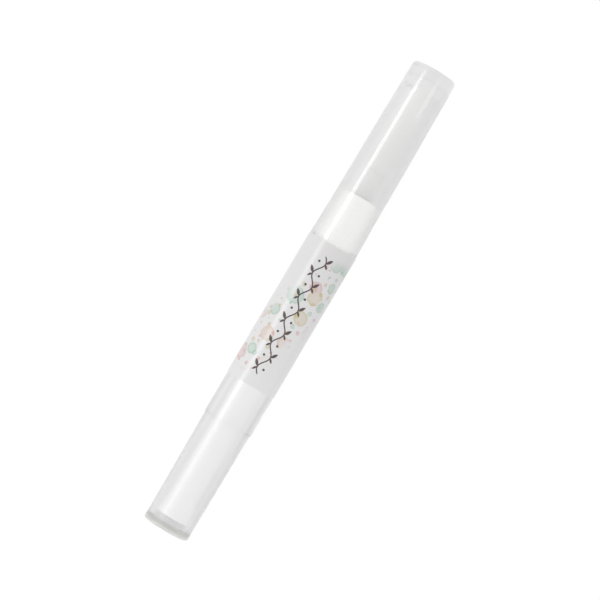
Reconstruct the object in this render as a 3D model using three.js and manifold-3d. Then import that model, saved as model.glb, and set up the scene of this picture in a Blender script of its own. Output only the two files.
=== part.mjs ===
// Twist-up nail polish pen with a brush tip, lying on a table.
// The pen's axis runs along X: the twist knob is at -X, the cap at +X. +Z is up.
// The origin is under the middle of the pen, on the table. Millimetres.
// Lengths along the pen are measured from the tail end ("s"), radii from the axis.

import * as THREE from 'three';
import { mergeVertices, mergeGeometries } from 'three/addons/utils/BufferGeometryUtils.js';
import Module from 'manifold-3d';

// ---- driving dimensions -------------------------------------------------

const LENGTH = 130.2;            // whole pen, cap on
const BARREL_R = 6.5;            // outside of the barrel
const SIDES = 32;                // facets of the outer shells
const SIDES_IN = 24;             // facets of the inner turned pieces
const AXIS_Z = BARREL_R * Math.cos(Math.PI / SIDES); // one barrel facet lies on the table

const PLUG_S = 1.95;             // end plug flange
const KNOB_S0 = 2.05;            // twist knob
const KNOB_S1 = 29.9;
const KNOB_R0 = 6.05;
const KNOB_R1 = 6.3;
const KNOB_BORE = 4.25;
const KNOB_GRIP = 3.86;          // front lip of the knob, on the sleeve

const BARREL_S0 = 30.05;         // barrel
const BARREL_S1 = 80.75;
const SOCKET_R = 3.85;           // rear socket, for sleeve and nut
const RESERVOIR_R = 5.36;        // front bore, for liquid and piston
const RESERVOIR_S = 51.1;        // where the front bore begins
const SNAP_S = 43.1;             // bead in the socket that holds the sleeve
const SNAP_R = 3.6;

const LABEL_S0 = 41.05;          // printed film on the barrel
const LABEL_S1 = 80.65;
const LABEL_GAP = 0.02;
const LABEL_T = 0.08;

const CORE_R = 3.72;             // drive sleeve and nut
const SLEEVE_S0 = 3.4;
const SLEEVE_S1 = 45.0;
const NUT_S0 = 45.15;
const NUT_S1 = 50.1;
const RATCHET_S = 47.0;          // floor of the ratchet well
const TEETH = 12;
const TOOTH_CREST = 3.12;
const TOOTH_ROOT = 3.38;

const LEAD = 3.0;                // screw advance in one turn
const THREAD_CREST = 2.05;
const THREAD_ROOT = 1.6;
const THREAD_PLAY = 0.16;
const FLANK_W = 0.5;             // one thread flank, and the crest; the root takes the rest of the lead
const CREST_W = 0.9;
const SCREW_SIDES = 16;
const SCREW_S0 = 5.2;
const SCREW_S1 = 51.1;
const FLAT = 1.4;                // half the width across the flats
const FLAT_PLAY = 0.15;

const PISTON_S0 = 51.5;
const PISTON_S1 = 57.2;
const PISTON_R = 5.26;

const COLLAR_S0 = 77.0;          // white collar
const COLLAR_S1 = 94.2;
const COLLAR_BORE = 4.25;
const COLLAR_HOLE = 2.78;
const COLLAR_WALL_S = 91.6;

const NOZZLE_S0 = 89.6;
const NOZZLE_S1 = 104.6;
const TUFT_TIP_S = 117.6;
const TUBE_R = 0.55;

const CAP_S0 = 80.95;            // cap
const CAP_BORE_S1 = 127.4;
const LINER_S0 = 101.6;

// ---- helpers ------------------------------------------------------------

const wasm = await Module();
wasm.setup();

const place = (g) => g.translate(-LENGTH / 2, 0, AXIS_Z);

// Solid of revolution from [s, r] points, turned so that s runs along X.
function turned(profile, sides = SIDES) {
  const pts = profile.map(([s, r]) => new THREE.Vector2(r, s));
  const g = new THREE.LatheGeometry(pts, sides, Math.PI / sides);
  g.rotateZ(-Math.PI / 2);
  return place(g);
}

// The same for a ring: the profile closes on itself.
const ring = (profile, sides) => turned([...profile, profile[0]], sides);

// Straight prism along X from a cross-section of [y, z] points.
function prism(points, s0, s1, holes = []) {
  const outline = (list) => list.map(([y, z]) => new THREE.Vector2(-z, y));
  const shape = new THREE.Shape(outline(points));
  for (const h of holes) shape.holes.push(new THREE.Path(outline(h)));
  const g = new THREE.ExtrudeGeometry(shape, { depth: s1 - s0, bevelEnabled: false, steps: 1 });
  g.rotateY(Math.PI / 2);
  g.translate(s0, 0, 0);
  return place(g);
}

function block(s0, s1, y0, y1, z0, z1) {
  const g = new THREE.BoxGeometry(s1 - s0, y1 - y0, z1 - z0);
  g.translate((s0 + s1) / 2, (y0 + y1) / 2, (z0 + z1) / 2);
  return place(g);
}

// Circle with two flats facing up and down.
function twoFlats(r, flat, n = 6) {
  const a = Math.asin(flat / r);
  const pts = [];
  for (let i = 0; i <= n; i++) {
    const t = -a + (2 * a * i) / n;
    pts.push([r * Math.cos(t), r * Math.sin(t)]);
  }
  for (let i = 0; i <= n; i++) {
    const t = Math.PI - a + (2 * a * i) / n;
    pts.push([r * Math.cos(t), r * Math.sin(t)]);
  }
  return pts;
}

function solid(geometry) {
  const g = geometry.clone();
  for (const name of Object.keys(g.attributes)) if (name !== 'position') g.deleteAttribute(name);
  const m = mergeVertices(g, 1e-4);
  const index = m.index.array;
  const tri = [];
  for (let i = 0; i < index.length; i += 3) {
    const [a, b, c] = [index[i], index[i + 1], index[i + 2]];
    if (a !== b && b !== c && c !== a) tri.push(a, b, c);
  }
  return new wasm.Manifold(new wasm.Mesh({
    numProp: 3,
    vertProperties: new Float32Array(m.attributes.position.array),
    triVerts: new Uint32Array(tri),
  }));
}

function geometryOf(manifold) {
  const mesh = manifold.getMesh();
  const g = new THREE.BufferGeometry();
  g.setAttribute('position', new THREE.BufferAttribute(new Float32Array(mesh.vertProperties), 3));
  g.setIndex(new THREE.BufferAttribute(new Uint32Array(mesh.triVerts), 1));
  g.computeVertexNormals();
  return g;
}

// Right-hand thread ridge: a ring profile swept round several turns while it moves along the pen.
function ridge(profile, s0, turns) {
  const pts = [...profile, profile[0]].map(([s, r]) => new THREE.Vector2(r, s + s0));
  const steps = Math.round(turns * SCREW_SIDES);
  const g = new THREE.LatheGeometry(pts, steps);
  const p = g.attributes.position;
  for (let i = 0; i < p.count; i++) {
    const column = Math.floor(i / pts.length);
    const phi = (column / SCREW_SIDES) * 2 * Math.PI;
    const r = Math.hypot(p.getX(i), p.getZ(i));
    p.setXYZ(i, r * Math.sin(phi), p.getY(i) + (LEAD * column) / SCREW_SIDES, r * Math.cos(phi));
  }
  const end = (column, back) => {
    const face = new THREE.ShapeGeometry(new THREE.Shape(profile.map(([s, r]) => new THREE.Vector2(r, s))));
    const f = face.attributes.position;
    const phi = (column / SCREW_SIDES) * 2 * Math.PI;
    for (let i = 0; i < f.count; i++) {
      const [r, s] = [f.getX(i), f.getY(i)];
      f.setXYZ(i, r * Math.sin(phi), s + s0 + (LEAD * column) / SCREW_SIDES, r * Math.cos(phi));
    }
    if (back) {
      const k = face.index.array;
      for (let i = 0; i < k.length; i += 3) [k[i], k[i + 1]] = [k[i + 1], k[i]];
    }
    return face;
  };
  const bare = [g, end(0, false), end(steps, true)].map((x) => {
    x.deleteAttribute('normal');
    x.deleteAttribute('uv');
    return x;
  });
  const all = mergeGeometries(bare);
  all.rotateZ(-Math.PI / 2);
  return place(all);
}

// Screw between two lengths; play > 0 gives the larger cutter for the nut.
function screw(s0, s1, play = 0) {
  const crest = THREAD_CREST + play;
  const root = THREAD_ROOT + play;
  const wide = CREST_W / 2 + play;
  const foot = CREST_W / 2 + FLANK_W + play;
  const deep = 0.2;                // the ridge's foot lies inside the core
  const slope = FLANK_W / (THREAD_CREST - THREAD_ROOT);
  const profile = [
    [-foot - deep * slope, root - deep],
    [foot + deep * slope, root - deep],
    [wide, crest],
    [-wide, crest],
  ].reverse();
  // the thread's phase is counted from SCREW_S0, so that screw and cutter match
  const first = Math.floor((s0 - SCREW_S0) / LEAD) - 2;
  const turns = Math.ceil((s1 - s0) / LEAD) + 4;
  const core = turned([[s0 - LEAD, 0], [s0 - LEAD, root], [s1 + LEAD, root], [s1 + LEAD, 0]], SCREW_SIDES);
  const whole = solid(core).add(solid(ridge(profile, SCREW_S0 + first * LEAD, turns)));
  return whole.intersect(solid(block(s0, s1, -8, 8, -8, 8)));
}

const group = new THREE.Group();
function add(name, geometry, color, roughness, metalness = 0) {
  const mesh = new THREE.Mesh(geometry, new THREE.MeshStandardMaterial({ color, roughness, metalness }));
  mesh.name = name;
  group.add(mesh);
}

const CLEAR = 0xdfe2e2;
const MILKY = 0xe3e3e2;
const WHITE = 0xf0efec;
const FILM = 0xe0dfe3;

// ---- barrel and what is fixed to it -------------------------------------

{
  // the nut is pressed into the front end of the socket, against the inner flange
  add('barrel', ring([
    [BARREL_S0, SOCKET_R],
    [BARREL_S0, BARREL_R - 0.2],
    [BARREL_S0 + 0.2, BARREL_R],
    [BARREL_S1 - 0.2, BARREL_R],
    [BARREL_S1, BARREL_R - 0.2],
    [BARREL_S1, 5.86],
    [BARREL_S1 - 1.05, 5.86],
    [BARREL_S1 - 1.05, RESERVOIR_R],
    [RESERVOIR_S, RESERVOIR_R],
    [RESERVOIR_S - 0.1, 3.45],
    [NUT_S1 + 0.1, 3.45],
    [NUT_S1 + 0.1, SOCKET_R],
    [SNAP_S + 0.5, SOCKET_R],
    [SNAP_S + 0.35, SNAP_R],
    [SNAP_S - 0.35, SNAP_R],
    [SNAP_S - 0.5, SOCKET_R],
  ]), CLEAR, 0.12);
}

{
  // film wrapped round the barrel, with its open strip underneath
  const step = (2 * Math.PI) / SIDES;
  const points = [];
  const at = (r, k) => {
    const phi = step / 2 + k * step;
    return [-r * Math.sin(phi), r * Math.cos(phi)];
  };
  const r0 = BARREL_R + LABEL_GAP;
  const r1 = r0 + LABEL_T;
  for (let k = -SIDES / 2 + 1; k <= SIDES / 2 - 2; k++) points.push(at(r1, k));
  for (let k = SIDES / 2 - 2; k >= -SIDES / 2 + 1; k--) points.push(at(r0, k));
  add('label', prism(points, LABEL_S0, LABEL_S1), FILM, 0.45);
}

{
  const body = turned([
    [NUT_S0, 0], [NUT_S0, CORE_R - 0.02], [NUT_S1 - 0.2, CORE_R - 0.02], [NUT_S1, CORE_R - 0.2], [NUT_S1, 0],
  ], SIDES_IN);
  const well = [];
  for (let i = 0; i < TEETH; i++) {
    const a = (i * 2 * Math.PI) / TEETH;
    const b = ((i + 0.92) * 2 * Math.PI) / TEETH;
    well.push([TOOTH_CREST * Math.cos(a), TOOTH_CREST * Math.sin(a)]);
    well.push([TOOTH_ROOT * Math.cos(b), TOOTH_ROOT * Math.sin(b)]);
  }
  const nut = solid(body)
    .subtract(solid(prism(well, NUT_S0 - 1, RATCHET_S)))
    .subtract(screw(NUT_S0 - 0.5, NUT_S1 + 0.5, THREAD_PLAY));
  add('thread_nut', geometryOf(nut), WHITE, 0.35);
}

add('front_collar', ring([
  [COLLAR_S0, COLLAR_BORE],
  [COLLAR_S0, 5.0],
  [COLLAR_S0 + 0.6, PISTON_R],
  [BARREL_S1 - 0.95, PISTON_R],
  [BARREL_S1 - 0.95, 5.74],
  [BARREL_S1 + 0.05, 5.74],
  [BARREL_S1 + 0.1, 5.18],
  [82.9, 5.14],
  [83.3, 5.27],
  [83.9, 5.27],
  [84.3, 5.1],
  [93.55, 4.79],
  [94.0, 4.66],
  [COLLAR_S1, 4.4],
  [COLLAR_S1, COLLAR_HOLE],
  [COLLAR_WALL_S, COLLAR_HOLE],
  [COLLAR_WALL_S, COLLAR_BORE],
]), WHITE, 0.4);

add('flow_plug', ring([
  [82.8, 3.4], [82.8, 4.0], [83.1, 4.12], [89.4, 4.12], [89.4, TUBE_R + 0.1], [86.3, TUBE_R + 0.1],
], SIDES_IN), MILKY, 0.4);

add('feed_tube', ring([
  [85.8, 0.3], [85.8, TUBE_R], [104.2, TUBE_R], [104.2, 0.3],
], 12), 0xc9ccce, 0.3, 1);

add('nozzle', ring([
  [NOZZLE_S0, 0.7],
  [NOZZLE_S0, 4.0],
  [NOZZLE_S0 + 1.1, 4.0],
  [NOZZLE_S0 + 1.1, 2.62],
  [96.0, 2.58],
  [101.0, 2.44],
  [103.8, 2.4],
  [104.4, 2.25],
  [NOZZLE_S1, 2.0],
  [NOZZLE_S1, 1.78],
  [97.0, 1.74],
  [96.5, 0.7],
], SIDES_IN), MILKY, 0.35);

add('nozzle_gasket', ring([
  [NOZZLE_S0 + 1.2, 2.95], [NOZZLE_S0 + 1.2, 3.95], [COLLAR_WALL_S - 0.1, 3.95], [COLLAR_WALL_S - 0.1, 2.95],
], SIDES_IN), 0xd8d6d0, 0.7);

add('bristle_tuft', turned([
  [104.5, 0], [104.5, 0.7], [97.1, 0.7], [97.1, 1.62],
  [104.6, 1.66], [106.5, 1.78], [109.0, 1.74], [112.0, 1.46], [114.5, 1.02], [116.6, 0.48], [TUFT_TIP_S, 0],
], 20), 0xe9e2d2, 0.6);

// ---- cap ----------------------------------------------------------------

add('cap', turned([
  [CAP_BORE_S1, 0],
  [CAP_BORE_S1, 2.6],
  [126.6, 4.2],
  [124.4, 4.88],
  [94.5, 5.18],
  [85.0, 5.42],
  [81.5, 5.46],
  [CAP_S0, 5.62],
  [CAP_S0, 6.3],
  [CAP_S0 + 0.15, 6.45],
  [86.0, 6.39],
  [89.8, 6.26],
  [100.0, 6.22],
  [110.0, 6.15],
  [120.0, 6.03],
  [129.65, 5.935],
  [129.95, 5.86],
  [130.13, 5.68],
  [LENGTH, 5.4],
  [LENGTH, 0],
]), MILKY, 0.15);

add('cap_liner', turned([
  [125.4, 0], [125.4, 1.85], [102.2, 2.56], [LINER_S0, 2.75], [LINER_S0, 3.05], [LINER_S0 + 0.3, 3.18],
  [125.2, 2.5], [125.4, 4.2], [126.1, 4.2], [126.5, 3.9], [127.2, 2.4], [127.2, 0],
], SIDES_IN), MILKY, 0.3);

// ---- twist knob and the drive -------------------------------------------

add('knob_shell', ring([
  [KNOB_S0, KNOB_BORE],
  [KNOB_S0, KNOB_R0 - 0.15],
  [KNOB_S0 + 0.15, KNOB_R0],
  [KNOB_S1 - 0.25, KNOB_R1],
  [KNOB_S1, KNOB_R1 - 0.2],
  [KNOB_S1, KNOB_GRIP],
  [28.2, KNOB_GRIP],
  [20.0, KNOB_BORE],
]), CLEAR, 0.08);

add('end_plug', turned([
  [0, 0], [0, 5.5], [0.12, 5.8], [0.45, 6.05], [PLUG_S - 0.1, 6.12], [PLUG_S, 6.05],
  [PLUG_S, 4.12], [3.0, 4.08], [3.2, 3.85], [3.2, 0],
]), CLEAR, 0.1);

{
  const body = turned([
    [SLEEVE_S0, 0], [SLEEVE_S0, 4.1], [5.0, 4.1], [9.0, CORE_R],
    [SNAP_S - 0.85, CORE_R], [SNAP_S - 0.75, 3.4], [SNAP_S + 0.75, 3.4], [SNAP_S + 0.85, CORE_R],
    [SLEEVE_S1 - 0.2, CORE_R], [SLEEVE_S1, CORE_R - 0.2], [SLEEVE_S1, 0],
  ], SIDES_IN);
  const bore = prism(twoFlats(THREAD_CREST + FLAT_PLAY, FLAT + FLAT_PLAY), SLEEVE_S0 - 1, SLEEVE_S1 + 1);
  add('drive_sleeve', geometryOf(solid(body).subtract(solid(bore))), WHITE, 0.35);
}

{
  // hub with two curved spring fingers that ride on the ratchet teeth
  const outline = [];
  const put = (r, deg) => outline.push([r * Math.cos((deg * Math.PI) / 180), r * Math.sin((deg * Math.PI) / 180)]);
  for (const base of [0, 180]) {
    for (let d = 70; d <= 150; d += 16) put(2.55, base + d);
    put(2.55, base + 160);
    // finger: outer edge forward, tip, inner edge back to its root
    put(2.9, base + 162);
    for (let d = 174; d <= 222; d += 12) put(2.92 + (0.1 * (d - 174)) / 48, base + d);
    put(2.78, base + 222);
    for (let d = 210; d >= 180; d -= 15) put(2.72, base + d);
    put(2.55, base + 180);
    for (let d = 195; d <= 240; d += 15) put(2.55, base + d);
  }
  const hole = twoFlats(THREAD_CREST + FLAT_PLAY, FLAT + FLAT_PLAY);
  add('click_ring', prism(outline, NUT_S0 + 0.2, RATCHET_S - 0.3, [hole]), 0xe6e4dd, 0.4);
}

// ---- screw and piston ---------------------------------------------------

{
  const flats = solid(block(SCREW_S0 - 1, SCREW_S1 + 1, -8, 8, -FLAT, FLAT));
  const head = turned([
    [SCREW_S1 - 0.8, 0], [SCREW_S1 - 0.8, 1.1], [52.5, 1.1], [52.6, 1.65], [53.4, 1.65], [53.7, 1.2], [53.7, 0],
  ], SCREW_SIDES);
  add('lead_screw', geometryOf(screw(SCREW_S0, SCREW_S1).intersect(flats).add(solid(head))), WHITE, 0.4);
}

add('piston', turned([
  [54.1, 0], [54.1, 1.95], [52.2, 1.95], [52.0, 1.35], [PISTON_S0, 1.35],
  [PISTON_S0, 4.9], [51.7, PISTON_R], [52.6, PISTON_R], [53.0, 4.9],
  [55.3, 4.9], [55.7, PISTON_R], [56.6, PISTON_R], [56.9, 4.9], [PISTON_S1, 3.2], [PISTON_S1, 0],
]), MILKY, 0.4);

export default group;
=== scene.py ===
"""Twist-up brush pen lying on a pale floor, seen from straight above."""

import math
import random

import bmesh
import bpy
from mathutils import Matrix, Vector
from mathutils.geometry import delaunay_2d_cdt


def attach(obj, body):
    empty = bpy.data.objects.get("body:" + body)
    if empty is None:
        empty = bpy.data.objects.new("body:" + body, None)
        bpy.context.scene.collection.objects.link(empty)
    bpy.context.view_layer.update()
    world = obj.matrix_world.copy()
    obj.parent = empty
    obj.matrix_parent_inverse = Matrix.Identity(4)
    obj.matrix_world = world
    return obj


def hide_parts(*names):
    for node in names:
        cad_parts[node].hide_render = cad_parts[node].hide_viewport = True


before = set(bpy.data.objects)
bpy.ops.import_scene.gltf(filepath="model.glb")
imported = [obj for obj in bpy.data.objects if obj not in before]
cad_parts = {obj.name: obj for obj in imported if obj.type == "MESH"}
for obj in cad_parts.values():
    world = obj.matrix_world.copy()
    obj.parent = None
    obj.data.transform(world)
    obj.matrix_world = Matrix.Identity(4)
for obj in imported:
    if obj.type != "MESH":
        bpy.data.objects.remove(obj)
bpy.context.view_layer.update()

# ---- the pen's frame ----------------------------------------------------
# The axis runs along X, the tail at -X and the cap at +X. Lengths below are in
# millimetres, s counted from the tail and r from the axis.

MM = 0.001
LENGTH = 130.2
AXIS_Z = 6.5 * math.cos(math.pi / 32)
LEAD = 3.0
SCREW_S0 = 5.2
LABEL_R = 6.6
LABEL_MID = 60.85
random.seed(7)


def at(s, r, a):
    """Point at length s, radius r and angle a, from the top towards -Y."""
    return Vector(((s - LENGTH / 2) * MM, -r * math.sin(a) * MM, (AXIS_Z + r * math.cos(a)) * MM))


# ---- mesh tools ---------------------------------------------------------


def rounded(points, loop, steps=4):
    """Profile points (s, r) or (s, r, f), where f is the radius that the corner is rounded to."""
    out = []
    n = len(points)
    for i, p in enumerate(points):
        here = Vector(p[:2])
        f = p[2] if len(p) > 2 else 0
        if not f:
            out.append(here)
            continue
        a = Vector(points[i - 1][:2]) - here
        b = Vector(points[(i + 1) % n][:2]) - here
        half = a.angle(b) / 2
        cut = min(f / math.tan(half), 0.48 * a.length, 0.48 * b.length)
        f = cut * math.tan(half)
        a.normalize()
        b.normalize()
        centre = here + (a + b).normalized() * (f / math.sin(half))
        u, v = here + a * cut - centre, here + b * cut - centre
        turn = u.angle(v)
        for k in range(steps + 1):
            t = k / steps
            w = (u * math.sin((1 - t) * turn) + v * math.sin(t * turn)) / math.sin(turn)
            out.append(centre + w)
    return out


def held(points, loop, near=0.1, step=3.0):
    """Adds points close to both ends of each long straight stretch, so that smooth shading stays true."""
    out = []
    n = len(points)
    for i in range(n if loop else n - 1):
        a, b = points[i], points[(i + 1) % n]
        out.append(a)
        d = (b - a).length
        if d > 4 * near:
            parts = max(1, math.ceil(d / step))
            marks = [near / d, *(k / parts for k in range(1, parts)), 1 - near / d]
            out += [a.lerp(b, t) for t in marks]
    if not loop:
        out.append(points[-1])
    return out


def profile(points, loop=True):
    return [(p.x, p.y) for p in held(rounded(points, loop), loop)]


def columns(n=128, corners=()):
    """Angles round the axis, with the given corner angles in degrees among them."""
    fixed = sorted({round(c % 360, 4) for c in corners})
    free = [360 * i / n for i in range(n)]
    free = [a for a in free if all(abs((a - f + 180) % 360 - 180) > 126 / n for f in fixed)]
    return [math.radians(a) for a in sorted(fixed + free)]


def finished(name, bm, sharp=33):
    bmesh.ops.recalc_face_normals(bm, faces=bm.faces)
    mesh = bpy.data.meshes.new(name)
    bm.to_mesh(mesh)
    bm.free()
    mesh.shade_smooth()
    mesh.set_sharp_from_angle(angle=math.radians(sharp))
    piece = bpy.data.objects.new(name, mesh)
    bpy.context.scene.collection.objects.link(piece)
    return piece


def turned(name, rows, loop=True, angles=None, sharp=33):
    """Closed surface from rows (s, r) round the axis. r is a number or a function of the angle."""
    angles = angles or columns()
    bm = bmesh.new()
    rings = []
    for s, r in rows:
        if r == 0:
            rings.append([bm.verts.new(at(s, 0, 0))])
        else:
            rings.append([bm.verts.new(at(s, r(a) if callable(r) else r, a)) for a in angles])
    n = len(angles)
    for a, b in zip(rings, rings[1:] + rings[:1] if loop else rings[1:]):
        for i in range(n):
            j = (i + 1) % n
            corner = ([a[0]] if len(a) == 1 else [a[i], a[j]]) + ([b[0]] if len(b) == 1 else [b[j], b[i]])
            if len(corner) > 2:
                bm.faces.new(corner)
    return finished(name, bm, sharp)


def two_flats(r, flat):
    """Radius of a round hole or rod with a flat above and a flat below."""
    return lambda a: min(r, flat / max(abs(math.cos(a)), 1e-6))


def flat_corners(r, flat):
    c = math.degrees(math.acos(flat / r))
    return [c, -c, 180 - c, 180 + c]


def thread(s, a, play=0.0):
    """Radius of the lead screw's thread at length s and angle a."""
    d = abs((s - SCREW_S0 - LEAD * a / (2 * math.pi) + LEAD / 2) % LEAD - LEAD / 2)
    crest, root, wide, flank = 2.05 + play, 1.6 + play, 0.45 + play, 0.5
    return crest - (crest - root) * min(1, max(0, (d - wide) / flank))


# ---- shader tools -------------------------------------------------------


class Val:
    """A number that changes over a surface, for sums written as in a formula."""

    def __init__(self, tree, socket):
        self.tree, self.socket = tree, socket

    def op(self, name, *others):
        n = self.tree.nodes.new("ShaderNodeMath")
        n.operation = name
        for slot, x in zip(n.inputs, (self, *others)):
            if isinstance(x, Val):
                self.tree.links.new(x.socket, slot)
            else:
                slot.default_value = x
        return Val(self.tree, n.outputs[0])

    def __add__(self, o):
        return self.op("ADD", o)

    def __sub__(self, o):
        return self.op("SUBTRACT", o)

    def __mul__(self, o):
        return self.op("MULTIPLY", o)

    def __truediv__(self, o):
        return self.op("DIVIDE", o)

    def step(self, a, b):
        """0 where this is a or less and 1 where it is b or more, with a soft change between; a may be the larger."""
        n = self.tree.nodes.new("ShaderNodeMapRange")
        n.interpolation_type = "SMOOTHSTEP"
        self.tree.links.new(self.socket, n.inputs["Value"])
        low, high = (0.0, 1.0) if a < b else (1.0, 0.0)
        for slot, x in zip(("From Min", "From Max", "To Min", "To Max"), (min(a, b), max(a, b), low, high)):
            n.inputs[slot].default_value = x
        return Val(self.tree, n.outputs["Result"])

    def spread(self, low, high):
        """This, from 0 to 1, spread evenly over low to high."""
        return self * (high - low) + low


class Finish:
    """One material: a Principled shader with what feeds it."""

    def __init__(self, name, **sockets):
        self.material = bpy.data.materials.new(name)
        self.material.use_nodes = True
        self.tree = self.material.node_tree
        self.tree.nodes.clear()
        out = self.tree.nodes.new("ShaderNodeOutputMaterial")
        self.shader = self.tree.nodes.new("ShaderNodeBsdfPrincipled")
        self.tree.links.new(self.shader.outputs[0], out.inputs["Surface"])
        for key, value in sockets.items():
            self.shader.inputs[key.replace("_", " ")].default_value = value
        self.place = self.tree.nodes.new("ShaderNodeTexCoord").outputs["Object"]

    def mapped(self, scale):
        """The place on the piece in millimetres, times scale in X, Y and Z."""
        n = self.tree.nodes.new("ShaderNodeMapping")
        n.inputs["Scale"].default_value = [v / MM for v in scale]
        self.tree.links.new(self.place, n.inputs["Vector"])
        return n.outputs[0]

    def axes(self):
        n = self.tree.nodes.new("ShaderNodeSeparateXYZ")
        self.tree.links.new(self.mapped((1, 1, 1)), n.inputs[0])
        return [Val(self.tree, o) for o in n.outputs]

    def noise(self, scale, detail=2.0, rough=0.5, warp=0.0, vector=None):
        """Noise from 0 to 1 with scale features per millimetre in X, Y and Z."""
        n = self.tree.nodes.new("ShaderNodeTexNoise")
        n.inputs["Scale"].default_value = 1.0
        n.inputs["Detail"].default_value = detail
        n.inputs["Roughness"].default_value = rough
        n.inputs["Distortion"].default_value = warp
        self.tree.links.new(vector or self.mapped(scale), n.inputs["Vector"])
        return Val(self.tree, n.outputs[0])

    def vector(self, *values):
        n = self.tree.nodes.new("ShaderNodeCombineXYZ")
        for slot, x in zip(n.inputs, values):
            if isinstance(x, Val):
                self.tree.links.new(x.socket, slot)
            else:
                slot.default_value = x
        return n.outputs[0]

    def ramp(self, value, *stops, even=False):
        """Colours over 0 to 1 from stops of (place, colour)."""
        n = self.tree.nodes.new("ShaderNodeValToRGB")
        n.color_ramp.interpolation = "CONSTANT" if even else "LINEAR"
        while len(n.color_ramp.elements) < len(stops):
            n.color_ramp.elements.new(0.5)
        for e, (where, colour) in zip(n.color_ramp.elements, stops):
            e.position = where
            e.color = (*colour, 1)
        self.tree.links.new(value.socket, n.inputs[0])
        return n.outputs["Color"]

    def mixed(self, base, over, share, how="MIX"):
        n = self.tree.nodes.new("ShaderNodeMix")
        n.data_type = "RGBA"
        n.blend_type = how
        for slot, x in zip((n.inputs[0], n.inputs[6], n.inputs[7]), (share, base, over)):
            if isinstance(x, Val):
                self.tree.links.new(x.socket, slot)
            elif isinstance(x, bpy.types.NodeSocket):
                self.tree.links.new(x, slot)
            elif isinstance(x, (int, float)):
                slot.default_value = x
            else:
                slot.default_value = (*x, 1)
        return n.outputs[2]

    def colour(self, socket):
        self.tree.links.new(socket, self.shader.inputs["Base Color"])

    def roughness(self, value):
        self.tree.links.new(value.socket, self.shader.inputs["Roughness"])

    def lets_light(self, share):
        """Lamps and diffuse light go straight through, so that what lies inside is lit."""
        t = self.tree
        path = t.nodes.new("ShaderNodeLightPath")
        thin = t.nodes.new("ShaderNodeBsdfTransparent")
        thin.inputs[0].default_value = (share, share, share, 1)
        surface = self.shader.outputs[0]
        for ray in ("Is Diffuse Ray", "Is Shadow Ray"):
            mix = t.nodes.new("ShaderNodeMixShader")
            t.links.new(path.outputs[ray], mix.inputs[0])
            t.links.new(surface, mix.inputs[1])
            t.links.new(thin.outputs[0], mix.inputs[2])
            surface = mix.outputs[0]
        out = next(n for n in t.nodes if n.type == "OUTPUT_MATERIAL")
        t.links.new(surface, out.inputs["Surface"])

    def bump(self, height, depth_mm, strength=1.0):
        n = self.tree.nodes.new("ShaderNodeBump")
        n.inputs["Strength"].default_value = strength
        n.inputs["Distance"].default_value = depth_mm * MM
        self.tree.links.new(height.socket, n.inputs["Height"])
        self.tree.links.new(n.outputs[0], self.shader.inputs["Normal"])


# ---- camera, floor and light --------------------------------------------

scene = bpy.context.scene
TURN = math.radians(59.42737)
right = Vector((math.cos(TURN), -math.sin(TURN), 0))
up = Vector((math.sin(TURN), math.cos(TURN), 0))
lens = bpy.data.cameras.new("camera")
lens.sensor_width = 36
lens.lens = 151.66
lens.clip_start = 0.01
camera = bpy.data.objects.new("camera", lens)
camera.location = Vector((0, 0, AXIS_Z * MM + 0.62)) - right * 0.000078 + up * 0.000070
camera.rotation_euler = (0, 0, -TURN)
scene.collection.objects.link(camera)
scene.camera = camera


def ground(name, below, paper):
    """Wide level sheet that lies a little under the pen."""
    bm = bmesh.new()
    bmesh.ops.create_grid(bm, x_segments=8, y_segments=8, size=1.6)
    sheet = finished(name, bm)
    sheet.location.z = -below * MM
    paper.material.cycles.emission_sampling = "NONE"
    sheet.data.materials.append(paper.material)
    return sheet


# The backdrop is lit from behind, so it stays white up to the pen. Light reaches the pen from below off a second
# sheet, hidden from the camera, that glows like a lamp; the pen's shadow is painted into its glow, darker under the
# pen and on the side away from the lamp.
paper = Finish("floor_paper", Emission_Color=(1, 1, 1, 1), Emission_Strength=0.82)
paper.shader.inputs["Specular IOR Level"].default_value = 0.1
paper.colour(paper.ramp(paper.noise((0.02, 0.02, 0.02), 3), (0.3, (0.19, 0.19, 0.19)), (0.7, (0.21, 0.21, 0.21))))
paper.roughness(paper.noise((0.3, 0.3, 0.3), 2).spread(0.75, 0.9))
floor = ground("floor", 0.04, paper)
floor.visible_diffuse = floor.visible_glossy = floor.visible_transmission = floor.visible_shadow = False

below = Finish("floor_card_painted_glow", Base_Color=(0, 0, 0, 1), Emission_Strength=1.0)
below.shader.inputs["Specular IOR Level"].default_value = 0.0
side = (below.axes()[1] + 20.0) / 40.0
# painted shadow of the pen: glow across Y in millimetres, darkest under the pen and on the -Y side
painted_shade_bands = ((-18, 0.88), (-12, 0.88), (-9, 0.88), (-7, 0.74), (-5, 0.82), (-3, 0.73), (0, 0.78), (2, 0.87), (4, 0.91), (7, 0.98), (9, 0.95), (11, 0.95), (14, 0.89), (18, 0.88))
painted_glow = below.ramp(side, *(((y + 20) / 40, (v, v, v)) for y, v in painted_shade_bands))
below.tree.links.new(painted_glow, below.shader.inputs["Emission Color"])
card = ground("floor_card", 0.08, below)
card.visible_camera = False


def lamp(name, size, watts, angle, distance, along=0.0):
    """Soft light at a place along the pen, angle degrees from straight above towards +Y."""
    data = bpy.data.lights.new(name, "AREA")
    data.shape = "RECTANGLE"
    data.size, data.size_y = size
    data.energy = watts
    o = bpy.data.objects.new(name, data)
    a = math.radians(angle)
    o.location = (along, math.sin(a) * distance, AXIS_Z * MM + math.cos(a) * distance)
    o.rotation_euler = (-a, 0, 0)
    o.visible_camera = False
    o.visible_transmission = False  # no bright specks in the frosted plastic
    scene.collection.objects.link(o)


lamp("key_strip", (0.26, 0.16), 0.52, 44.3, 0.55)
lamp("small_window", (0.019, 0.15), 0.0155, -36.0, 0.55, 0.121)

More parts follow.
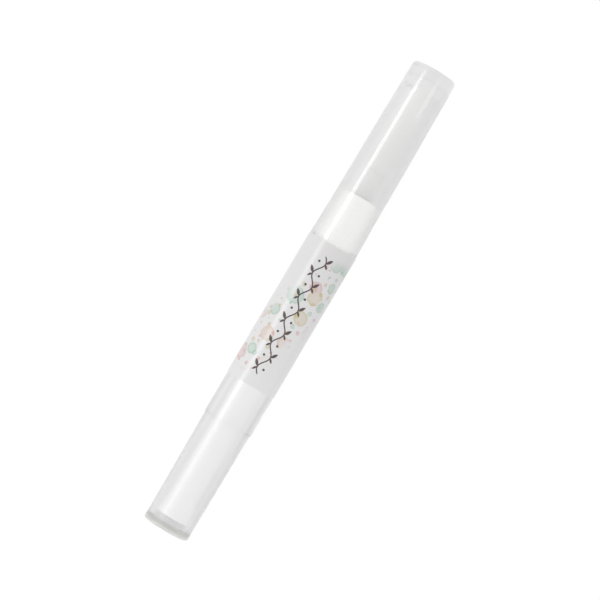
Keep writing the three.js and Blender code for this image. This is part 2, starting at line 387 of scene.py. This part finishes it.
world = bpy.data.worlds.new("studio")
world.use_nodes = True
sky = world.node_tree
sky.nodes["Background"].inputs["Color"].default_value = (1, 1, 1, 1)
toward = sky.nodes.new("ShaderNodeSeparateXYZ")
sky.links.new(sky.nodes.new("ShaderNodeTexCoord").outputs["Generated"], toward.inputs[0])
# brighter towards the horizon, and a little more so on the side away from the lamp, which fills the shade
level = Val(sky, toward.outputs[1]) * -0.10 + Val(sky, toward.outputs[2]) * -0.48 + 1.27
sky.links.new(level.socket, sky.nodes["Background"].inputs["Strength"])
# what is seen through clear plastic is pale paper, so that the plastic stands out from the white around it
paper_wall = sky.nodes.new("ShaderNodeBackground")
paper_wall.inputs["Color"].default_value = (1, 1, 1, 1)
paper_wall.inputs["Strength"].default_value = 0.84
seen = sky.nodes.new("ShaderNodeMixShader")
sky.links.new(sky.nodes.new("ShaderNodeLightPath").outputs["Is Transmission Ray"], seen.inputs[0])
sky.links.new(sky.nodes["Background"].outputs[0], seen.inputs[1])
sky.links.new(paper_wall.outputs[0], seen.inputs[2])
sky.links.new(seen.outputs[0], sky.nodes["World Output"].inputs["Surface"])
scene.world = world
scene.view_settings.view_transform = "Standard"
# light passes many walls of clear plastic before it reaches the middle of the pen
scene.cycles.denoising_input_passes = "RGB"
scene.cycles.max_bounces = 24
scene.cycles.glossy_bounces = 16
scene.cycles.transmission_bounces = 24
scene.cycles.transparent_max_bounces = 32
scene.cycles.min_light_bounces = 8

# ---- finishes -----------------------------------------------------------



def plastic(name, tint, haze, rough, passes):
    """Clear plastic, drawn out along the pen: haze is the share that scatters, and passes what lamps get through."""
    f = Finish(name, Base_Color=(tint, tint, tint, 1), Transmission_Weight=1 - haze, IOR=1.49)
    f.roughness(f.noise((0.03, 0.35, 0.35), 3).spread(*rough))
    f.lets_light(passes)
    return f


clear_out = plastic("clear_plastic_outside", 0.862, 0.0, (0.12, 0.14), 0.96)
clear_in = plastic("clear_plastic_inside", 0.95, 0.0, (0.09, 0.12), 0.98)
knob_out = plastic("clear_plastic_knob", 0.893, 0.0, (0.25, 0.28), 0.96)
knob_in = plastic("clear_plastic_knob_inside", 0.95, 0.0, (0.05, 0.07), 0.98)
polished = plastic("cap_plastic_outside", 0.949, 0.0, (0.05, 0.07), 0.96)
frosted = plastic("cap_plastic_inside", 0.95, 0.0, (0.29, 0.33), 0.985)
cap_tip = plastic("cap_plastic_end", 0.965, 0.0, (0.05, 0.07), 0.96)
cap_floor = plastic("cap_plastic_floor", 0.795, 0.9, (0.50, 0.56), 0.985)
smoky = plastic("clear_plastic_tail", 0.7, 0.45, (0.28, 0.34), 1.0)
# painted shade: the plug's tint darkens in a band at the inner side of its flange, next to the knob, where it looks
# darkest
depth = (smoky.axes()[0] + LENGTH / 2) / 3.2
smoky.colour(smoky.ramp(depth, (0.0, (0.92, 0.92, 0.90)), (0.12, (0.78, 0.78, 0.76)), (0.36, (0.53, 0.53, 0.515)),
                        (0.58, (0.56, 0.56, 0.545)), (0.70, (0.86, 0.86, 0.85))))
frosted_tail = plastic("clear_plastic_tail_inside", 0.76, 0.60, (0.55, 0.60), 1.0)


def satin(name, dark, pale, rough):
    """White moulded plastic with a satin skin."""
    f = Finish(name)
    f.colour(f.ramp(f.noise((0.25, 0.6, 0.6), 4), (0.3, dark), (0.7, pale)))
    f.roughness(f.noise((0.3, 1.2, 1.2), 3).spread(*rough))
    f.bump(f.noise((2.5, 2.5, 2.5), 2), 0.003)
    return f


white = satin("white_plastic", (0.925, 0.925, 0.925), (0.943, 0.943, 0.941), (0.42, 0.50))
ivory = satin("white_plastic_collar", (0.904, 0.901, 0.882), (0.922, 0.919, 0.902), (0.44, 0.52))

milky = plastic("natural_plastic", 0.79, 0.85, (0.56, 0.64), 0.95)
# the mouldings are a little paler and warmer towards the cap's end
milky.colour(milky.ramp((milky.axes()[0] + LENGTH / 2 - 98.0) / 28.0, (0.0, (0.768, 0.768, 0.766)), (0.3, (0.787, 0.787, 0.779)), (1.0, (0.830, 0.830, 0.821))))
milky.bump(milky.noise((3, 3, 3), 2), 0.003)

steel = Finish("tube_steel", Metallic=1.0)
steel.colour(steel.ramp(steel.noise((0.3, 9, 9), 3), (0.3, (0.60, 0.595, 0.58)), (0.7, (0.74, 0.735, 0.72))))
steel.roughness(steel.noise((0.4, 14, 14), 3).spread(0.20, 0.38))

rubber = Finish("gasket_rubber")
rubber.colour(rubber.ramp(rubber.noise((1.5, 1.5, 1.5), 4), (0.3, (0.70, 0.69, 0.66)), (0.7, (0.76, 0.75, 0.72))))
rubber.roughness(rubber.noise((3, 3, 3), 3).spread(0.60, 0.80))
rubber.bump(rubber.noise((9, 9, 9), 3), 0.006)

hair = Finish("bristle")
hair.colour(hair.ramp(hair.noise((0.05, 7, 7), 3), (0.25, (0.66, 0.60, 0.48)), (0.5, (0.80, 0.76, 0.65)), (0.75, (0.88, 0.86, 0.78))))
hair.roughness(hair.noise((0.3, 9, 9), 2).spread(0.35, 0.55))


def label_finish():
    film = Finish("label_film", IOR=1.5)
    x, y, z = film.axes()
    along = x + (LENGTH / 2 - LABEL_MID)
    round_ = (y * -1.0).op("ARCTAN2", z - AXIS_Z) * LABEL_R
    # washed colour spots, soft at the rim, on a ribbon that winds round the pen
    sway = film.noise((0.9, 0.9, 0.9), 3).spread(-0.45, 0.45)
    sway2 = film.noise((0.7, 0.8, 0.9), 3, 0.6).spread(-0.45, 0.45)
    wash = film.noise((0.8, 0.8, 0.8), 4, 0.6).spread(0.45, 1.0)
    ink = None
    for pitch, size, ribbon, shift, force in ((5.6, (0.24, 0.42), 7.5, 3.0, 0.9), (2.5, (0.10, 0.26), 9.5, 31.0, 1.0)):
        spots = film.tree.nodes.new("ShaderNodeTexVoronoi")
        spots.voronoi_dimensions = "2D"
        spots.inputs["Scale"].default_value = 1 / pitch
        spots.inputs["Randomness"].default_value = 0.7
        film.tree.links.new(film.vector(along + sway + shift, round_ + sway2, 0.0), spots.inputs["Vector"])
        parts = film.tree.nodes.new("ShaderNodeSeparateColor")
        film.tree.links.new(spots.outputs["Color"], parts.inputs[0])
        kind, much = Val(film.tree, parts.outputs[0]), Val(film.tree, parts.outputs[1])
        inside = much.spread(*size) - Val(film.tree, spots.outputs["Distance"])
        soft = inside.step(0.0, 0.05)
        rim = inside.step(0.16, 0.02) * 0.45 + 0.55
        lean = (round_ - along * 0.55).op("ABSOLUTE")
        band = lean.step(ribbon, ribbon * 0.55)
        ends = along.op("ABSOLUTE").step(18.0, 15.5)
        tint = film.ramp(
            kind,
            (0.0, (0.80, 0.36, 0.36)),
            (0.30, (0.83, 0.56, 0.38)),
            (0.52, (0.36, 0.66, 0.47)),
            (0.76, (0.72, 0.56, 0.22)),
            even=True,
        )
        share = soft * rim * band * ends * wash * (0.92 * force)
        ink = film.mixed(ink or (1, 1, 1), tint, share, "MIX")
    # running vine along the middle
    half, tall = 3.3, 0.85
    wave = (along * (math.pi / half)).op("SINE") * tall
    slope = (along * (math.pi / half)).op("COSINE") * (tall * math.pi / half)
    stem = ((round_ - wave).op("ABSOLUTE") / (slope * slope + 1.0).op("SQRT")).step(0.21, 0.11)
    cell = (along / half).op("FLOOR")
    side = cell.op("FLOORED_MODULO", 2.0) * -2.0 + 1.0
    u = along - (cell + 0.5) * half
    v = round_ * side - tall
    vine = stem
    for lean, length, wide, start in ((38, 2.3, 0.46, -0.1), (142, 1.7, 0.34, -0.1)):
        c, s = math.cos(math.radians(lean)), math.sin(math.radians(lean))
        t = ((u * c + v * s - start) / length).op("MINIMUM", 1.0).op("MAXIMUM", 0.0)
        body = t * (t * -1.0 + 1.0) * (4 * wide) - 0.07
        leaf = (body - (u * -s + v * c).op("ABSOLUTE")).step(-0.04, 0.05)
        vine = vine.op("MAXIMUM", leaf)
    berry_v = v + 1.75
    berry = ((u * u + berry_v * berry_v).op("SQRT")).step(0.36, 0.25)
    vine = vine.op("MAXIMUM", berry)
    vine = vine * along.op("ABSOLUTE").step(16.6, 16.4)
    ink = film.mixed(ink, (0.075, 0.045, 0.04), vine * 0.94, "MIX")
    # painted shade: the film is darker round the side away from the lamp (-Y) and lighter on the lamp side; along the
    # pen it turns a touch darker and cooler towards the cap
    fade = (along + 20.0) / 40.0 + film.noise((0.1, 0.2, 0.2), 3).spread(-0.2, 0.2)
    painted_lit_side = film.ramp(fade, (0.0, (0.714, 0.714, 0.713)), (1.0, (0.700, 0.692, 0.698)))
    painted_shade_side = film.ramp(fade, (0.0, (0.680, 0.680, 0.679)), (1.0, (0.606, 0.594, 0.603)))
    film_with_painted_shade = film.mixed(painted_shade_side, painted_lit_side, (film.axes()[1] / 13.0 + 0.5), "MIX")
    film.colour(film.mixed(film_with_painted_shade, ink, 1.0, "MULTIPLY"))
    film.roughness(film.noise((0.5, 0.9, 0.9), 3).spread(0.20, 0.30) + vine * 0.05)
    film.bump(film.noise((0.25, 0.6, 0.6), 3), 0.012)
    return film


film = label_finish()


def dress(piece, body, node, slot, *finishes):
    for f in finishes:
        piece.data.materials.append(f.material)
    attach(piece, body)
    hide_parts(node)
    return piece


def paint(piece, where, slot=1):
    """Gives another finish to the faces for which where(s, r) holds at their middle."""
    for f in piece.data.polygons:
        c = f.center
        s = c.x / MM + LENGTH / 2
        r = math.hypot(c.y / MM, c.z / MM - AXIS_Z)
        if where(s, r):
            f.material_index = slot


# ---- barrel and what is fixed to it -------------------------------------

barrel = turned("barrel_shell", profile([
    (30.01, 3.85, 0.05), (30.01, 6.5, 0.05), (80.75, 6.5, 0.06), (80.75, 5.86, 0.1), (79.7, 5.86), (79.7, 5.36, 0.1),
    (51.1, 5.36, 0.3), (51.0, 3.45, 0.12), (50.2, 3.45, 0.12), (50.2, 3.85),
    (43.6, 3.85, 0.1), (43.45, 3.6, 0.1), (42.75, 3.6, 0.1), (42.6, 3.85, 0.1),
]), angles=columns(144))
paint(barrel, lambda s, r: r < 5.9)
dress(barrel, "barrel", "barrel", "clear_plastic", clear_out, clear_in)


def label_wrap():
    """Thin film round the barrel with rounded corners, open along the underside."""
    bm = bmesh.new()
    half, low, high, corner = math.radians(163.125), 41.05, 80.7, 1.2
    across, lengthwise = 150, 40
    sheets = []
    for r in (6.52, LABEL_R):
        sheet = []
        for i in range(across + 1):
            f = 2 * i / across - 1
            a = half * f
            d = min((1 - abs(f)) * half * LABEL_R, corner)
            inset = corner - math.sqrt(max(0, corner * corner - (corner - d) ** 2))
            sheet.append([bm.verts.new(at(low + inset + (high - low - 2 * inset) * k / lengthwise, r, a))
                          for k in range(lengthwise + 1)])
        sheets.append(sheet)
    inner, outer = sheets
    for i in range(across):
        for k in range(lengthwise):
            bm.faces.new((outer[i][k], outer[i + 1][k], outer[i + 1][k + 1], outer[i][k + 1]))
            bm.faces.new((inner[i][k], inner[i][k + 1], inner[i + 1][k + 1], inner[i + 1][k]))
        for k in (0, lengthwise):
            bm.faces.new((outer[i][k], outer[i + 1][k], inner[i + 1][k], inner[i][k]))
    for i in (0, across):
        for k in range(lengthwise):
            bm.faces.new((outer[i][k], outer[i][k + 1], inner[i][k + 1], inner[i][k]))
    return finished("label_wrap", bm)


wrap = dress(label_wrap(), "barrel", "label", "label_film", film)
wrap.visible_shadow = wrap.visible_diffuse = wrap.visible_transmission = False  # the film is so thin that light reaches the inside of the barrel


def ribbed(a):
    """Nut with fine ribs that bite into the socket."""
    return 3.7 + 0.07 * max(0.0, math.cos(20 * a))


def tooth(a):
    """Ratchet well with twelve saw teeth."""
    t = ((math.degrees(a) + 90) / 30) % 1
    return 3.12 + 0.26 * (t / 0.92 if t < 0.92 else (1 - t) / 0.08)


teeth = [30 * i - 90 + o for i in range(12) for o in (0, 27.6)]
rows = [(45.15, 3.5), (45.22, 3.6), (45.35, 3.7), (45.6, 3.7), (45.85, ribbed), (47.6, ribbed), (49.3, ribbed), (49.55, 3.7)]
rows += [(49.85, 3.7), (50.0, 3.66), (50.1, 3.5), (50.1, 2.75)]
rows += [(50.1 - 0.1 * k, lambda a, s=50.1 - 0.1 * k: thread(s, a, 0.16)) for k in range(32)]
rows += [(47.0, 2.75), (46.98, tooth), (46.1, tooth), (45.3, tooth), (45.15, lambda a: tooth(a) + 0.05)]
nut = turned("thread_nut_body", rows, angles=columns(240, teeth), sharp=30)
dress(nut, "barrel", "thread_nut", "white_plastic", white)

collar = turned("collar_body", profile([
    (77.0, 4.25, 0.15), (77.0, 5.0), (77.6, 5.26, 0.2), (79.8, 5.26), (79.8, 5.74, 0.12), (80.8, 5.74, 0.1), (80.85, 5.18),
    (82.9, 5.14, 0.3), (83.3, 5.27, 0.3), (83.9, 5.27, 0.3), (84.3, 5.1, 0.3), (93.55, 4.79, 0.4), (94.0, 4.66, 0.25), (94.2, 4.4, 0.15),
    (94.2, 2.78, 0.12), (91.6, 2.78, 0.05), (91.6, 4.25, 0.1),
]))
dress(collar, "barrel", "front_collar", "white_plastic", ivory)

plug = turned("flow_plug_body", profile([
    (82.8, 3.4, 0.1), (82.8, 4.0), (83.1, 4.12, 0.15), (89.4, 4.12, 0.15), (89.4, 0.65, 0.05), (86.3, 0.65, 0.15),
]))
dress(plug, "barrel", "flow_plug", "natural_plastic", milky)

tube = turned("feed_tube_body", profile([(85.8, 0.3, 0.05), (85.8, 0.55, 0.08), (104.2, 0.55, 0.08), (104.2, 0.3, 0.05)]),
              angles=columns(32))
dress(tube, "barrel", "feed_tube", "tube_steel", steel)

nozzle = turned("brush_nozzle", profile([
    (89.6, 0.7, 0.05), (89.6, 4.0, 0.15), (90.7, 4.0, 0.15), (90.7, 2.62, 0.1), (96, 2.58, 2.0), (101, 2.44, 2.0), (103.8, 2.4, 0.6),
    (104.4, 2.25, 0.25), (104.6, 2.0, 0.12), (104.6, 1.78, 0.06), (97, 1.74, 0.3), (96.5, 0.7, 0.1),
]))
dress(nozzle, "barrel", "nozzle", "natural_plastic", milky)

gasket = turned("gasket_ring", profile([(90.8, 2.95, 0.2), (90.8, 3.95, 0.3), (91.5, 3.95, 0.3), (91.5, 2.95, 0.2)]),
                angles=columns(96))
dress(gasket, "barrel", "nozzle_gasket", "gasket_rubber", rubber)


def brush(count=270, sides=6):
    """Separate tapered filaments that leave the nozzle side by side and close to a point."""
    shape = [(97.1, 1.58), (104.6, 1.62), (106.5, 1.72), (109, 1.68), (112, 1.40), (114.5, 0.96), (116.6, 0.42), (117.6, 0.08)]

    def envelope(s):
        for (s0, r0), (s1, r1) in zip(shape, shape[1:]):
            if s <= s1:
                return r0 + (r1 - r0) * (s - s0) / (s1 - s0)
        return shape[-1][1]

    bm = bmesh.new()
    for i in range(count):
        q = math.sqrt((i + 0.5) / count)
        turn = i * 2.399963 + random.uniform(-0.08, 0.08)
        sway, phase = random.uniform(-0.05, 0.05), random.uniform(0, 6.28)
        end = 117.5 - 5.2 * q ** 1.6 - random.uniform(0, 0.9)
        root = math.sqrt(0.74 ** 2 + q * q * (1.52 ** 2 - 0.74 ** 2))
        places = []
        stops = 11
        for k in range(stops + 1):
            s = 97.3 + (end - 97.3) * k / stops
            m = min(1, max(0, (s - 104.5) / 3.0))
            m = m * m * (3 - 2 * m)
            thick = 0.07 if s < 108 else 0.07 - 0.052 * (s - 108) / max(end - 108, 0.1)
            r = root * (1 - m) + q * max(envelope(s) - thick, 0.0) * m
            a = turn + sway * math.sin(s * 0.5 + phase) * m
            places.append((at(s, r, a), thick * MM))
        rings = []
        for p, thick in places:
            ring = []
            for j in range(sides):
                b = 2 * math.pi * j / sides + turn
                ring.append(bm.verts.new(p + Vector((0, math.cos(b), math.sin(b))) * thick))
            rings.append(ring)
        for a, b in zip(rings, rings[1:]):
            for j in range(sides):
                bm.faces.new((a[j], a[(j + 1) % sides], b[(j + 1) % sides], b[j]))
        first = bm.verts.new(places[0][0])
        last = bm.verts.new(places[-1][0] + Vector((0.00006, 0, 0)))
        for j in range(sides):
            bm.faces.new((first, rings[0][(j + 1) % sides], rings[0][j]))
            bm.faces.new((last, rings[-1][j], rings[-1][(j + 1) % sides]))
    return finished("brush_filaments", bm, 60)


dress(brush(), "barrel", "bristle_tuft", "bristle", hair)

# ---- cap ----------------------------------------------------------------

cap = turned("cap_shell", profile([
    (127.4, 0), (127.4, 2.6, 1.2), (126.6, 4.2, 1.6), (124.4, 4.88, 3.0), (94.5, 5.18, 6.0), (85.0, 5.42, 6.0), (81.5, 5.46, 0.3), (80.86, 5.62, 0.1), (80.86, 6.46, 0.1),
    (86, 6.39, 6.0), (89.8, 6.26, 4.0), (100, 6.22, 8.0), (110, 6.15, 8.0), (120, 6.03, 8.0), (130.2, 5.93, 0.95),
    (130.2, 1.25, 0.1), (130.06, 1.05, 0.1), (130.06, 0),
], False), False)
paint(cap, lambda s, r: r < 5.6 and s < 127.6)
paint(cap, lambda s, r: s > 127.6 or (s > 127.4 and r > 5.6), 2)
paint(cap, lambda s, r: r < 5.0 and 124.2 < s < 127.6, 3)
dress(cap, "cap", "cap", "cap_plastic", polished, frosted, cap_tip, cap_floor)

liner = turned("cap_liner_sleeve", profile([
    (125.4, 0), (125.4, 1.85, 0.5), (102.2, 2.56, 0.3), (101.6, 2.75, 0.15), (101.6, 3.05, 0.15), (101.9, 3.18, 0.2),
    (125.2, 2.5, 0.3), (125.4, 4.2, 0.2), (126.1, 4.2, 0.2), (126.5, 3.9, 0.3), (127.2, 2.4, 0.3), (127.2, 0),
], False), False)
dress(liner, "cap", "cap_liner", "natural_plastic", milky)

# ---- knob ---------------------------------------------------------------

knob = turned("knob_casing", profile([
    (2.05, 4.25, 0.1), (2.05, 6.04, 0.15), (29.99, 6.3, 0.05), (29.99, 3.86, 0.05), (28.2, 3.86, 1.5), (20.0, 4.25, 1.5),
]))
paint(knob, lambda s, r: r < 5.4)
dress(knob, "knob", "knob_shell", "clear_plastic", knob_out, knob_in)

tail = turned("tail_plug", profile([
    (0.1, 0), (0.1, 0.8, 0.1), (0, 1.0, 0.1), (0, 6.08, 0.55), (1.95, 6.12, 0.15), (1.95, 4.12, 0.1), (3.0, 4.08, 0.12), (3.2, 3.85, 0.1), (3.2, 0),
], False), False)
paint(tail, lambda s, r: s > 1.9 and r < 4.2)
dress(tail, "knob", "end_plug", "clear_plastic", smoky, frosted_tail)

rows = profile([
    (3.4, 3.0), (3.4, 4.1, 0.15), (5.0, 4.1, 1.0), (9.0, 3.72, 2.0), (42.25, 3.72, 0.1), (42.35, 3.4, 0.1), (43.85, 3.4, 0.1), (43.95, 3.72, 0.1),
    (45.0, 3.72, 0.2), (45.0, 3.0),
], False)
bore = two_flats(2.2, 1.55)
rows += [(45.0, lambda a: bore(a) + 0.15), (44.85, bore), (36.0, bore), (27.0, bore), (18.0, bore), (9.0, bore), (3.55, bore), (3.4, lambda a: bore(a) + 0.15)]
sleeve = turned("drive_sleeve_body", rows, angles=columns(128, flat_corners(2.2, 1.55)))
dress(sleeve, "knob", "drive_sleeve", "white_plastic", white)


def click_ring():
    """Hub with two curved spring fingers, cut from one sheet with broken edges."""
    outline = []

    def put(r, deg):
        outline.append(Vector((r * math.cos(math.radians(deg)), r * math.sin(math.radians(deg)))))

    for base in (0, 180):
        for d in range(70, 151, 5):
            put(2.55, base + d)
        put(2.55, base + 160)
        put(2.9, base + 162)
        for d in range(174, 223, 6):
            put(2.92 + 0.1 * (d - 174) / 48, base + d)
        put(2.78, base + 222)
        for d in range(216, 179, -6):
            put(2.72, base + d)
        put(2.55, base + 180)
        for d in range(186, 241, 6):
            put(2.55, base + d)
    edge = math.asin(1.55 / 2.2)
    hole = []
    for middle in (0, math.pi):
        for i in range(13):
            t = middle - edge + 2 * edge * i / 12
            hole.append(Vector((2.2 * math.cos(t), 2.2 * math.sin(t))))
    points = outline + hole
    n, m = len(outline), len(hole)
    faces = delaunay_2d_cdt(points, [], [list(range(n)), list(range(n, n + m))], 0, 1e-6)
    bm = bmesh.new()
    flat, index = faces[0], faces[2]

    def inside(tri):
        c = sum((flat[i] for i in tri), Vector((0, 0))) / 3

        def within(loop):
            hit = False
            for a, b in zip(loop, loop[1:] + loop[:1]):
                if (a.y > c.y) != (b.y > c.y) and c.x < (b.x - a.x) * (c.y - a.y) / (b.y - a.y) + a.x:
                    hit = not hit
            return hit

        return within(outline) and not within(hole)

    index = [t for t in index if inside(t)]
    sheets = [[bm.verts.new(((s - LENGTH / 2) * MM, p.x * MM, (AXIS_Z + p.y) * MM)) for p in flat] for s in (45.35, 46.7)]
    for t in index:
        bm.faces.new([sheets[0][i] for i in t])
        bm.faces.new([sheets[1][i] for i in reversed(t)])
    border = {}
    for t in index:
        for a, b in zip(t, t[1:] + t[:1]):
            border[frozenset((a, b))] = None if frozenset((a, b)) in border else (a, b)
    for pair in border.values():
        if pair:
            a, b = pair
            bm.faces.new((sheets[0][b], sheets[0][a], sheets[1][a], sheets[1][b]))
    bmesh.ops.delete(bm, geom=[v for v in bm.verts if not v.link_faces], context="VERTS")
    bmesh.ops.recalc_face_normals(bm, faces=bm.faces)
    rims = [e for e in bm.edges if e.calc_face_angle(0) > 1.2 and abs(e.verts[0].co.x - e.verts[1].co.x) < 1e-7]
    bmesh.ops.bevel(bm, geom=rims, offset=0.05 * MM, segments=2, affect="EDGES", profile=0.5)
    return finished("click_ring_body", bm)


dress(click_ring(), "knob", "click_ring", "white_plastic", white)

# ---- screw and piston ---------------------------------------------------

flat = two_flats(99, 1.4)
rows = [(5.2, 0), (5.2, lambda a: min(1.45, flat(a)))]
count = 320
for k in range(count + 1):
    s = 5.35 + (51.1 - 5.35) * k / count
    rows.append((s, lambda a, s=s: min(thread(s, a), flat(a))))
rows += [(s, r) for s, r in profile([
    (51.15, 1.1), (52.5, 1.1, 0.1), (52.6, 1.65, 0.08), (53.4, 1.65, 0.15), (53.7, 1.2, 0.1), (53.7, 0),
], False)]
rod = turned("lead_screw_body", rows, False, angles=columns(64, flat_corners(2.05, 1.4) + flat_corners(1.6, 1.4)), sharp=30)
dress(rod, "screw", "lead_screw", "white_plastic", white)

piston = turned("piston_body", profile([
    (54.1, 0), (54.1, 1.95, 0.1), (52.2, 1.95, 0.1), (52.0, 1.35, 0.1), (51.5, 1.35, 0.1), (51.5, 4.9, 0.1), (51.7, 5.26, 0.15), (52.6, 5.26, 0.3),
    (53.0, 4.9, 0.3), (55.3, 4.9, 0.3), (55.7, 5.26, 0.3), (56.6, 5.26, 0.15), (56.9, 4.9, 0.1), (57.2, 3.2, 0.2), (57.2, 0),
], False), False)
dress(piston, "piston", "piston", "natural_plastic", milky)
